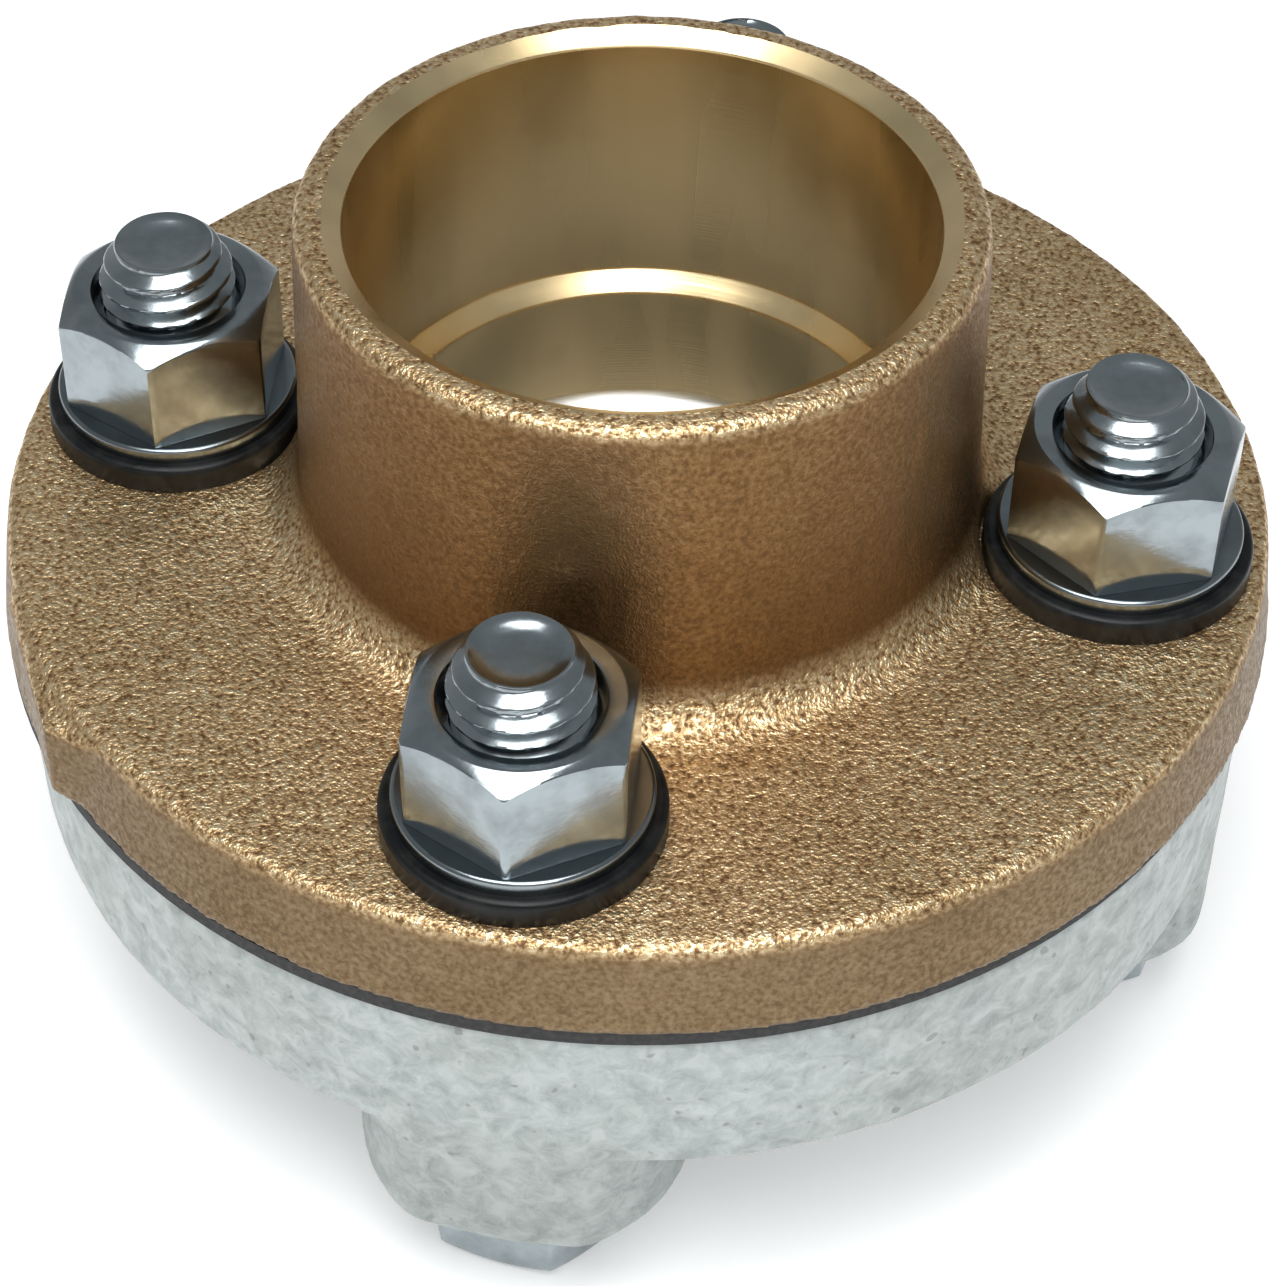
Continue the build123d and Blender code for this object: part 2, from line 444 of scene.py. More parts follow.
# ---- Finishes ------------------------------------------------------------------------
class Shader:
    """A Principled material whose colour, roughness and relief come from noise."""

    def __init__(self, name: str, metallic: float, roughness: float,
                 colour: Colour = (0.5, 0.5, 0.5)) -> None:
        """Start a material.

        Args:
            name: Name of the material.
            metallic: 1 for bare metal, 0 for plastic.
            roughness: Base roughness.
            colour: Base colour, linear.
        """
        self.material = bpy.data.materials.new(name)
        self.material.use_nodes = True
        self.tree = self.material.node_tree
        self.principled = self.tree.nodes["Principled BSDF"]
        self.principled.inputs["Metallic"].default_value = metallic
        self.principled.inputs["Roughness"].default_value = roughness
        self.principled.inputs["Base Color"].default_value = (*colour, 1)
        coordinates = self.tree.nodes.new("ShaderNodeTexCoord")
        self.place = coordinates.outputs["Object"]
        split = self.tree.nodes.new("ShaderNodeSeparateXYZ")
        self.tree.links.new(coordinates.outputs["Normal"], split.inputs[0])
        self.upward = split.outputs["Z"]
        split = self.tree.nodes.new("ShaderNodeSeparateXYZ")
        self.tree.links.new(self.place, split.inputs[0])
        self.height = split.outputs["Z"]

    def set(self, name: str, value: float) -> None:
        """Set one of the shader's own sockets."""
        self.principled.inputs[name].default_value = value

    def feed(self, name: str, socket: bpy.types.NodeSocket) -> None:
        """Drive one of the shader's sockets."""
        self.tree.links.new(socket, self.principled.inputs[name])

    def stretched(self, scale: tuple[float, float, float]) -> bpy.types.NodeSocket:
        """Scale the object coordinates along each axis.

        Args:
            scale: Factor for X, Y and Z.

        Returns:
            The scaled coordinates.
        """
        node = self.tree.nodes.new("ShaderNodeMapping")
        node.inputs["Scale"].default_value = scale
        self.tree.links.new(self.place, node.inputs["Vector"])
        return node.outputs["Vector"]

    def noise(self, scale: float, detail: float = 2.0, roughness: float = 0.5,
              place: bpy.types.NodeSocket | None = None,
              distortion: float = 0.0) -> bpy.types.NodeSocket:
        """Make noise in three dimensions.

        Args:
            scale: Features per metre.
            detail: Layers of finer noise.
            roughness: Strength of each finer layer.
            place: Coordinates, if not those of the object.
            distortion: How far the noise bends itself.

        Returns:
            Value of the noise, from 0 to 1.
        """
        node = self.tree.nodes.new("ShaderNodeTexNoise")
        node.inputs["Scale"].default_value = scale
        node.inputs["Detail"].default_value = detail
        node.inputs["Roughness"].default_value = roughness
        node.inputs["Distortion"].default_value = distortion
        self.tree.links.new(place or self.place, node.inputs["Vector"])
        return node.outputs["Fac"]

    def ramp(self, value: bpy.types.NodeSocket,
             stops: Sequence[tuple[float, Colour]]) -> bpy.types.NodeSocket:
        """Make a colour that follows a value.

        Args:
            value: Value to follow, from 0 to 1.
            stops: Position and colour of each stop.

        Returns:
            The colour.
        """
        node = self.tree.nodes.new("ShaderNodeValToRGB")
        elements = node.color_ramp.elements
        while len(elements) < len(stops):
            elements.new(0.5)
        for element, (position, colour) in zip(elements, stops):
            element.position = position
            element.color = (*colour, 1)
        self.tree.links.new(value, node.inputs["Fac"])
        return node.outputs["Color"]

    def remap(self, value: bpy.types.NodeSocket, low: float, high: float, to_low: float,
              to_high: float) -> bpy.types.NodeSocket:
        """Move a value from one range to another and hold it there.

        Args:
            value: Value to move.
            low: Where the first range starts.
            high: Where it ends.
            to_low: Where the new range starts.
            to_high: Where it ends.

        Returns:
            The moved value.
        """
        node = self.tree.nodes.new("ShaderNodeMapRange")
        self.tree.links.new(value, node.inputs["Value"])
        for name, number in (("From Min", low), ("From Max", high), ("To Min", to_low),
                             ("To Max", to_high)):
            node.inputs[name].default_value = number
        return node.outputs["Result"]

    def math(self, kind: str, first: bpy.types.NodeSocket,
             second: bpy.types.NodeSocket | float) -> bpy.types.NodeSocket:
        """Do arithmetic on two values.

        Args:
            kind: Operation of the math node.
            first: First value.
            second: Second value, or a number.

        Returns:
            The result.
        """
        node = self.tree.nodes.new("ShaderNodeMath")
        node.operation = kind
        self.tree.links.new(first, node.inputs[0])
        if isinstance(second, (int, float)):
            node.inputs[1].default_value = second
        else:
            self.tree.links.new(second, node.inputs[1])
        return node.outputs[0]

    def mix(self, kind: str, factor: bpy.types.NodeSocket | float,
            first: bpy.types.NodeSocket,
            second: bpy.types.NodeSocket | Colour) -> bpy.types.NodeSocket:
        """Blend two colours.

        Args:
            kind: Blend type of the mix node.
            factor: Share of the second colour, or a value for it.
            first: First colour.
            second: Second colour.

        Returns:
            The blended colour.
        """
        node = self.tree.nodes.new("ShaderNodeMix")
        node.data_type = "RGBA"
        node.blend_type = kind
        if isinstance(factor, (int, float)):
            node.inputs[0].default_value = factor
        else:
            self.tree.links.new(factor, node.inputs[0])
        self.tree.links.new(first, node.inputs[6])
        if isinstance(second, tuple):
            node.inputs[7].default_value = (*second, 1)
        else:
            self.tree.links.new(second, node.inputs[7])
        return node.outputs[2]

    def relief(self, *layers: tuple[bpy.types.NodeSocket, float]) -> None:
        """Raise the surface by layers of height.

        Args:
            layers: Height from 0 to 1, and how deep it is in metres.
        """
        normal: bpy.types.NodeSocket | None = None
        for height, depth in layers:
            node = self.tree.nodes.new("ShaderNodeBump")
            node.inputs["Distance"].default_value = depth
            self.tree.links.new(height, node.inputs["Height"])
            if normal is not None:
                self.tree.links.new(normal, node.inputs["Normal"])
            normal = node.outputs["Normal"]
        if normal is not None:
            self.feed("Normal", normal)


@dataclass(frozen=True)
class CastBronze:
    """Sand-cast bronze, with a coarse grain that is bright on its peaks, and painted
    shade on its walls.
    """

    pit: Colour = (0.22, 0.125, 0.06)
    body: Colour = (0.66, 0.46, 0.245)
    peak: Colour = (0.99, 0.82, 0.54)
    # Painted shade: hub and rim are the factors that darken the sideways faces of the
    # hub and of the rim.
    hub: Colour = (0.39, 0.325, 0.275)
    rim: Colour = (0.34, 0.33, 0.33)
    rim_top: tuple[float, float] = (0.063, 0.069)
    slope_range: tuple[float, float] = (0.20, 0.62)
    wall_plain: float = 0.7
    wall_grain: float = 0.3
    grain: float = 1550.0
    grain_depth: float = 0.25 * MM
    fine_share: float = 2.6
    patch_scale: float = 45.0
    patch_shade: Colour = (0.86, 0.84, 0.80)
    roughness: tuple[float, float] = (0.56, 0.34)

    def material(self) -> bpy.types.Material:
        """Build the material.

        Returns:
            The finish of the bronze as it was cast.
        """
        shader = Shader("cast_bronze", metallic=1.0, roughness=0.45)
        grain = shader.noise(self.grain, detail=1.5, roughness=0.6)
        fine = shader.noise(self.grain * self.fine_share, detail=1.0)
        patches = shader.noise(self.patch_scale, detail=3.0)
        colour = shader.ramp(
            grain, [(0.32, self.pit), (0.50, self.body), (0.70, self.peak)]
        )
        shade = shader.ramp(patches, [(0.35, self.patch_shade), (0.65, WHITE)])
        # Painted shade: faces that turn sideways are darkened, by the hub factor above
        # the rim top and by the rim factor below it.
        upward = shader.remap(shader.upward, *self.slope_range, 0.0, 1.0)
        above_rim = shader.remap(shader.height, *self.rim_top, 0.0, 1.0)
        wall = shader.ramp(above_rim, [(0.0, self.rim), (1.0, self.hub)])
        slope = shader.mix("MIX", upward, wall, WHITE)
        plain = shader.remap(upward, 0.0, 1.0, self.wall_plain, 0.0)
        colour = shader.mix("MIX", plain, colour, self.body)
        colour = shader.mix("MULTIPLY", 1.0, colour, shade)
        shader.feed("Base Color", shader.mix("MULTIPLY", 1.0, colour, slope))
        shader.feed("Roughness", shader.remap(grain, 0.35, 0.7, *self.roughness))
        share = shader.remap(shader.upward, *self.slope_range, self.wall_grain, 1.0)
        shader.relief((shader.math("MULTIPLY", grain, share), self.grain_depth),
                      (fine, self.grain_depth * 0.3))
        return shader.material


@dataclass(frozen=True)
class MachinedBronze:
    """Turned bronze, with fine rings left by the tool and a few brown stains."""

    body: Colour = (0.82, 0.635, 0.355)
    stain: Colour = (0.50, 0.33, 0.155)
    dimming: float = 0.88
    ring_scale: tuple[float, float, float] = (60.0, 60.0, 5200.0)
    ring_depth: float = 0.010 * MM
    streak_scale: tuple[float, float, float] = (90.0, 90.0, 14.0)
    spot_scale: float = 70.0
    roughness: tuple[float, float] = (0.25, 0.33)

    def material(self) -> bpy.types.Material:
        """Build the material.

        Returns:
            The finish of the bronze where it was turned.
        """
        shader = Shader("machined_bronze", metallic=1.0, roughness=0.26)
        rings = shader.noise(1.0, detail=2.0, place=shader.stretched(self.ring_scale))
        streaks = shader.stretched(self.streak_scale)
        clouds = shader.noise(1.0, detail=2.0, place=streaks)
        spots = shader.noise(self.spot_scale, detail=2.0)
        dim = tuple(self.dimming * c for c in self.body)
        colour = shader.ramp(clouds, [(0.34, dim), (0.60, self.body)])
        stained = shader.remap(spots, 0.60, 0.85, 0.0, 0.45)
        shader.feed("Base Color", shader.mix("MIX", stained, colour, self.stain))
        shader.feed("Roughness", shader.remap(clouds, 0.35, 0.68, *self.roughness))
        shader.relief((rings, self.ring_depth))
        return shader.material


@dataclass(frozen=True)
class MachinedIron:
    """Turned face of the iron, bright, with fine tool rings."""

    body: Colour = (0.88, 0.88, 0.86)
    dull: Colour = (0.70, 0.70, 0.68)
    cloud_scale: float = 60.0
    ring_scale: tuple[float, float, float] = (60.0, 60.0, 5200.0)
    ring_depth: float = 0.008 * MM

    def material(self) -> bpy.types.Material:
        """Build the material.

        Returns:
            The finish of the iron where it was turned.
        """
        shader = Shader("machined_iron", metallic=1.0, roughness=0.33)
        rings = shader.noise(1.0, detail=2.0, place=shader.stretched(self.ring_scale))
        clouds = shader.noise(self.cloud_scale, detail=3.0)
        shader.feed("Base Color",
                    shader.ramp(clouds, [(0.35, self.dull), (0.62, self.body)]))
        shader.relief((rings, self.ring_depth))
        return shader.material


@dataclass(frozen=True)
class GalvanisedIron:
    """Hot-dip zinc on cast iron: pale, mottled, dull, with small pits, and painted shade
    low down.
    """

    light: Colour = (0.485, 0.525, 0.52)
    dark: Colour = (0.33, 0.365, 0.36)
    pit: Colour = (0.20, 0.20, 0.18)
    broad_shade: Colour = (0.90, 0.90, 0.88)
    low_painted_shade: Colour = (0.80, 0.80, 0.79)
    low_range: tuple[float, float] = (0.018, 0.034)
    mottle_scale: float = 330.0
    mottle_depth: float = 0.10 * MM
    skin_depth: float = 0.035 * MM
    roughness: tuple[float, float] = (0.58, 0.40)

    def material(self) -> bpy.types.Material:
        """Build the material.

        Returns:
            The finish of the dipped iron.
        """
        shader = Shader("galvanised_iron", metallic=0.55, roughness=0.48)
        mottle = shader.noise(self.mottle_scale, detail=5.0, roughness=0.70,
                              distortion=0.5)
        broad = shader.noise(42.0, detail=2.0)
        skin = shader.noise(1100.0, detail=2.0, roughness=0.6)
        pits = shader.noise(520.0, detail=1.0)
        colour = shader.ramp(mottle, [(0.32, self.dark), (0.62, self.light)])
        shade = shader.ramp(broad, [(0.35, self.broad_shade), (0.62, WHITE)])
        colour = shader.mix("MULTIPLY", 1.0, colour, shade)
        # Painted shade: the colour darkens towards the bottom, from 34 mm height down to
        # 18 mm and below.
        risen = shader.remap(shader.height, *self.low_range, 0.0, 1.0)
        painted_low_shade = shader.ramp(risen, [(0.0, self.low_painted_shade), (1.0, WHITE)])
        colour = shader.mix("MULTIPLY", 1.0, colour, painted_low_shade)
        pitted = shader.remap(pits, 0.70, 0.76, 0.0, 0.6)
        shader.feed("Base Color", shader.mix("MIX", pitted, colour, self.pit))
        shader.feed("Roughness", shader.remap(mottle, 0.3, 0.7, *self.roughness))
        shader.relief((mottle, self.mottle_depth), (skin, self.skin_depth))
        return shader.material


class ZincLook(Enum):
    """How a zinc-plated piece was made."""

    FORGED = "forged"
    PRESSED = "pressed"


@dataclass(frozen=True)
class ZincPlate:
    """Bright zinc plate on steel, a little blue."""

    look: ZincLook = ZincLook.FORGED
    body: Colour = (0.365, 0.41, 0.43)
    dull: Colour = (0.265, 0.30, 0.315)
    pressed_shade: float = 0.72
    scratch_scale: tuple[float, float, float] = (900.0, 420.0, 2600.0)
    scratch_depth: float = 0.006 * MM
    roughness: tuple[float, float] = (0.24, 0.13)

    def material(self) -> bpy.types.Material:
        """Build the material.

        Returns:
            The finish of the plated steel.
        """
        forged = self.look is ZincLook.FORGED
        shader = Shader(f"zinc_{self.look.value}", metallic=1.0, roughness=0.22)
        shade = 1.0 if forged else self.pressed_shade
        clouds = shader.noise(170.0 if forged else 90.0, detail=4.0, roughness=0.6)
        scratches = shader.noise(1.0, detail=3.0,
                                 place=shader.stretched(self.scratch_scale))
        shader.feed("Base Color",
                    shader.ramp(clouds, [(0.34, tuple(shade * c for c in self.dull)),
                                         (0.58, tuple(shade * c for c in self.body))]))
        shader.feed("Roughness", shader.remap(clouds, 0.3, 0.7, *self.roughness))
        shader.relief((clouds, (0.05 if forged else 0.02) * MM),
                      (scratches, self.scratch_depth))
        return shader.material


@dataclass(frozen=True)
class MouldedPlastic:
    """Black moulded nylon with a faint sheen."""

    body: Colour = (0.006, 0.0065, 0.007)
    dusty: Colour = (0.020, 0.021, 0.020)
    specular: float = 0.22
    texture_scale: float = 900.0
    texture_depth: float = 0.02 * MM

    def material(self) -> bpy.types.Material:
        """Build the material.

        Returns:
            The finish of the bushings.
        """
        shader = Shader("moulded_plastic", metallic=0.0, roughness=0.34)
        shader.set("Specular IOR Level", self.specular)
        dust = shader.noise(260.0, detail=4.0, roughness=0.6)
        shader.feed("Base Color",
                    shader.ramp(dust, [(0.45, self.body), (0.75, self.dusty)]))
        shader.feed("Roughness", shader.remap(dust, 0.35, 0.7, 0.28, 0.46))
        texture = shader.noise(self.texture_scale, detail=2.0)
        shader.relief((texture, self.texture_depth))
        return shader.material


@dataclass(frozen=True)
class GasketRubber:
    """Dark cloth-faced rubber."""

    body: Colour = (0.020, 0.020, 0.021)
    worn: Colour = (0.045, 0.043, 0.041)
    weave_scale: float = 1400.0
    weave_depth: float = 0.05 * MM

    def material(self) -> bpy.types.Material:
        """Build the material.

        Returns:
            The finish of the gasket.
        """
        shader = Shader("gasket_rubber", metallic=0.0, roughness=0.75)
        weave = shader.noise(self.weave_scale, detail=2.0)
        shader.feed("Base Color",
                    shader.ramp(weave, [(0.4, self.body), (0.7, self.worn)]))
        shader.relief((weave, self.weave_depth))
        return shader.material


class Palette:
    """Every finish of the union, made once."""

    def __init__(self) -> None:
        """Build the materials."""
        self.cast_bronze = CastBronze().material()
        self.machined_bronze = MachinedBronze().material()
        self.machined_iron = MachinedIron().material()
        self.galvanised = GalvanisedIron().material()
        self.zinc_forged = ZincPlate(ZincLook.FORGED).material()
        self.zinc_pressed = ZincPlate(ZincLook.PRESSED).material()
        self.plastic = MouldedPlastic().material()
        self.rubber = GasketRubber().material()


def dress_node(node: str, material: bpy.types.Material) -> None:
    """Give a CAD node that stays in view its finish.

    Args:
        node: Name of the node.
        material: Its finish.
    """
    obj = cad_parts[node]
    if not obj.material_slots:
        obj.data.materials.append(material)
    for place in obj.material_slots:
        place.material = material
    log.info("%s: finished as %s", node, material.name)


def place_piece(obj: bpy.types.Object, body: str, slot: str, *nodes: str) -> None:
    """Let a new piece ride on a body and stand for its CAD nodes.

    Args:
        obj: The new piece.
        body: Body that it rides on.
        slot: Not used.
        nodes: CAD nodes that it replaces.
    """
    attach(obj, body)
    if nodes:
        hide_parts(*nodes)
    log.info("%s: %d faces, rides on %s", obj.name, len(obj.data.polygons), body)


# ---- Castings ------------------------------------------------------------------------
@dataclass
class SolderFlange:
    """Bronze flange with a solder cup: a rough casting, machined inside."""

    underside: float = 53.5 * MM
    face: float = 65.6 * MM
    lip: float = 105.6 * MM
    rim_radius: float = 75.95 * MM
    waterway_radius: float = 31.1 * MM
    cup_radius: float = 33.37 * MM
    cup_floor: float = 71.2 * MM
    bevel_width: float = 2.35 * MM
    bevel_height: float = 1.5 * MM
    hole_radius: float = (BOLT_RADIUS_MM + 0.3 + 1.6 + 0.1) * MM
    spot_radius: float = (HEX_CORNER_MM + 0.5 + 1.4 + 0.35) * MM
    spot_height: float = 6.0 * MM
    spot_depth: float = 0.02 * MM
    bore_round: float = 0.3 * MM
    floor_round: float = 0.25 * MM
    bevel_round: float = 0.35 * MM
    row_spacing: float = 2.5 * MM
    slack: float = 0.02 * MM
    sharp_turn: float = math.radians(9)
    seed: float = 4.1
    voxel: float = 0.76 * MM
    ripples: list[tuple[float, float]] = field(
        default_factory=lambda: [(17 * MM, 0.12 * MM), (4.2 * MM, 0.08 * MM),
                                 (1.5 * MM, 0.07 * MM)]
    )

    def core(self) -> bpy.types.Object:
        """Make the cutter with the form of the machined cup and waterway.

        Returns:
            The cutter.
        """
        ledge = self.cup_radius - self.waterway_radius
        slope = self.bevel_width / self.bevel_height
        outline = soften([
            (self.waterway_radius, self.underside - PAST, 0),
            (self.waterway_radius, self.cup_floor - ledge, self.bore_round),
            (self.cup_radius, self.cup_floor, self.floor_round),
            (self.cup_radius, self.lip - self.bevel_height, self.bevel_round),
            (self.cup_radius + self.bevel_width, self.lip, 0),
            (self.cup_radius + self.bevel_width + PAST * slope, self.lip + PAST, 0),
        ])
        rows = turned_rows(refine(outline, self.row_spacing), around=360)
        return link_mesh("cup_core", polar_mesh("cup_core", rows, loop=False))

    def build(self, palette: Palette) -> None:
        """Cast, machine and dress the flange.

        Args:
            palette: Finishes of the union.
        """
        margin = 0.3 * MM
        fillers = [cylinder("fill_cup", self.cup_radius + self.bevel_width + margin,
                            self.underside, self.lip, around=180)]
        for index in range(BOLTS.count):
            x, y = BOLTS.centre(index)
            fillers.append(cylinder("fill_hole", self.hole_radius + FILL_MARGIN,
                                    self.underside, self.face, x, y))
        obj = cast_skin("bronze_flange", "solder_flange", fillers, self.voxel, relax=2)
        ripple(obj, self.ripples, self.seed, self.rim_radius)
        cutters = [self.core()]
        for index in range(BOLTS.count):
            x, y = BOLTS.centre(index)
            cutters.append(cylinder("spot", self.spot_radius,
                                    self.face - self.spot_depth,
                                    self.face + self.spot_height, x, y, around=180))
            cutters.append(cylinder("hole", self.hole_radius, self.underside - PAST,
                                    self.face + PAST, x, y))
        cut(obj, *cutters)
        coat(obj.data, palette.cast_bronze, palette.machined_bronze)
        for face in obj.data.polygons:
            face.material_index = int(self.is_machined(face.center))
        crease(obj.data, self.sharp_turn, machined_slot=1)
        place_piece(obj, "root", "bronze", "solder_flange")

    def is_machined(self, place: Vector) -> bool:
        """Tell machined surface from cast skin.

        Args:
            place: Middle of a face.

        Returns:
            True on the bore, its bevel or the wall of a bolt hole.
        """
        radius = math.hypot(place.x, place.y)
        beyond, below = 1.02, 0.1 * MM
        if radius < self.cup_radius + self.bevel_width * beyond and (
            radius < self.cup_radius + self.slack or place.z < self.lip - below
            or radius < self.cup_radius + self.bevel_width - self.slack
        ):
            return True
        return any(
            math.hypot(place.x - x, place.y - y) < self.hole_radius + self.slack
            for x, y in map(BOLTS.centre, range(BOLTS.count))
        )


@dataclass
class ThreadedFlange:
    """Galvanised iron flange: a rim with four bosses and a hub with a pipe thread."""

    joint_face: float = 51.5 * MM
    rim_radius: float = 74.6 * MM
    head_seat: float = 10.9 * MM
    waterway_radius: float = 31.1 * MM
    seat_chamfer: float = 3.5 * MM
    thread_radius: float = 35.9 * MM
    thread_length: float = 28.5 * MM
    shoulder_height: float = 2.0 * MM
    thread_pitch: float = 25.4 / 8 * MM
    thread_depth: float = 2.2 * MM
    thread_taper: float = 1 / 32
    thread_runout: float = 2 * MM
    ridge_end: float = 0.92
    flank_share: float = 0.84
    rows_per_pitch: int = 16
    mouth_depth: float = 1.0 * MM
    mouth_margin: float = 0.6 * MM
    corner_round: float = 0.4 * MM
    row_spacing: float = 2.5 * MM
    hole_radius: float = (BOLT_RADIUS_MM + 0.4) * MM
    sharp_turn: float = math.radians(32)
    seed: float = 9.3
    voxel: float = 0.99 * MM
    ripples: list[tuple[float, float]] = field(
        default_factory=lambda: [(24 * MM, 0.20 * MM), (7 * MM, 0.13 * MM),
                                 (2.4 * MM, 0.05 * MM)]
    )

    def core(self) -> bpy.types.Object:
        """Make the cutter with the form of the waterway and the pipe thread.

        Returns:
            The cutter.
        """
        around = 240
        theta = np.arange(around) * TURN / around
        rows = []
        step = self.thread_pitch / self.rows_per_pitch
        for height in np.arange(-PAST, self.thread_length, step):
            phase = np.mod(height / self.thread_pitch - theta / TURN, 1.0)
            flank = np.abs(phase - 0.5) * 2
            ridge = np.clip((self.ridge_end - flank) / self.flank_share, 0, 1)
            root = self.thread_radius - max(height, 0) * self.thread_taper
            fade = np.clip((self.thread_length - height) / self.thread_runout, 0, 1)
            radius = root - self.thread_depth * ridge * fade
            if height < self.mouth_depth:
                mouth = self.thread_radius + self.mouth_margin - height
                radius = np.maximum(radius, mouth)
            rows.append((radius, height))
        bore, rounding = self.waterway_radius, self.corner_round
        upper = soften([
            (self.thread_radius - 1.0 * MM, self.thread_length, 0),
            (bore, self.thread_length + self.shoulder_height, rounding),
            (bore, self.joint_face - self.seat_chamfer, rounding),
            (bore + self.seat_chamfer, self.joint_face, 0),
            (bore + self.seat_chamfer + PAST, self.joint_face + PAST, 0),
        ])
        outline = refine(upper, self.row_spacing)
        rows += [(np.full(around, r), z) for r, z in outline]
        grid = np.array([
            np.stack((r * np.cos(theta), r * np.sin(theta), np.full(around, z)), -1)
            for r, z in rows
        ])
        return link_mesh("pipe_core", polar_mesh("pipe_core", grid, loop=False))

    def build(self, palette: Palette) -> None:
        """Cast, thread and dress the flange.

        Args:
            palette: Finishes of the union.
        """
        margin = 1.6 * MM
        fillers = [cylinder("fill_bore", self.thread_radius + margin, 0,
                            self.joint_face, around=180)]
        for index in range(BOLTS.count):
            x, y = BOLTS.centre(index)
            fillers.append(cylinder("fill_hole", self.hole_radius + FILL_MARGIN,
                                    self.head_seat, self.joint_face, x, y))
        obj = cast_skin("iron_flange", "threaded_flange", fillers, self.voxel, relax=6)
        ripple(obj, self.ripples, self.seed, self.rim_radius)
        cutters = [self.core()]
        for index in range(BOLTS.count):
            x, y = BOLTS.centre(index)
            cutters.append(cylinder("hole", self.hole_radius, self.head_seat - PAST,
                                    self.joint_face + PAST, x, y))
        cut(obj, *cutters)
        coat(obj.data, palette.galvanised, palette.machined_iron)
        slack = 0.05 * MM
        bore = self.waterway_radius + self.seat_chamfer + slack
        for face in obj.data.polygons:
            radius = math.hypot(face.center.x, face.center.y)
            above = face.center.z > self.thread_length
            face.material_index = int(radius < bore and above)
        crease(obj.data, self.sharp_turn)
        place_piece(obj, "root", "galvanised_iron", "threaded_flange")


# ---- Bolting -------------------------------------------------------------------------
@dataclass
class HexForm:
    """A hexagon with rounded corners whose end is cut by a flat cone."""

    across_flats: float = BOLTS.across_flats
    face_share: float = BOLTS.face_share
    corner_round: float = 0.35 * MM
    chamfer: float = math.radians(30)
    around: int = 216

    def __post_init__(self) -> None:
        """Work out the radius of the outline at each place round it."""
        self.theta = np.arange(self.around) * TURN / self.around
        self.face_radius = self.face_share * self.across_flats / 2

    def radius(self, corner_angle: float) -> np.ndarray:
        """Draw the hexagon with its rounded corners.

        Args:
            corner_angle: Direction of one corner.

        Returns:
            Radius of the outline at each place round it.
        """
        apothem = self.across_flats / 2
        half = math.pi / 6
        local = np.abs(np.mod(self.theta - corner_angle + half, 2 * half) - half)
        flat = apothem / np.cos(half - local)
        tip = apothem / math.cos(half)
        centre = tip - self.corner_round / math.cos(half)
        arc = centre * np.cos(local) + np.sqrt(
            np.maximum(self.corner_round**2 - (centre * np.sin(local)) ** 2, 0)
        )
        tangent = math.atan2(
            self.corner_round * math.sin(half),
            centre + self.corner_round * math.cos(half),
        )
        return np.where(local < tangent, arc, flat)

    def drop(self, outline: np.ndarray) -> np.ndarray:
        """How far below the end face the cone meets each side."""
        return (outline - self.face_radius) * math.tan(self.chamfer)


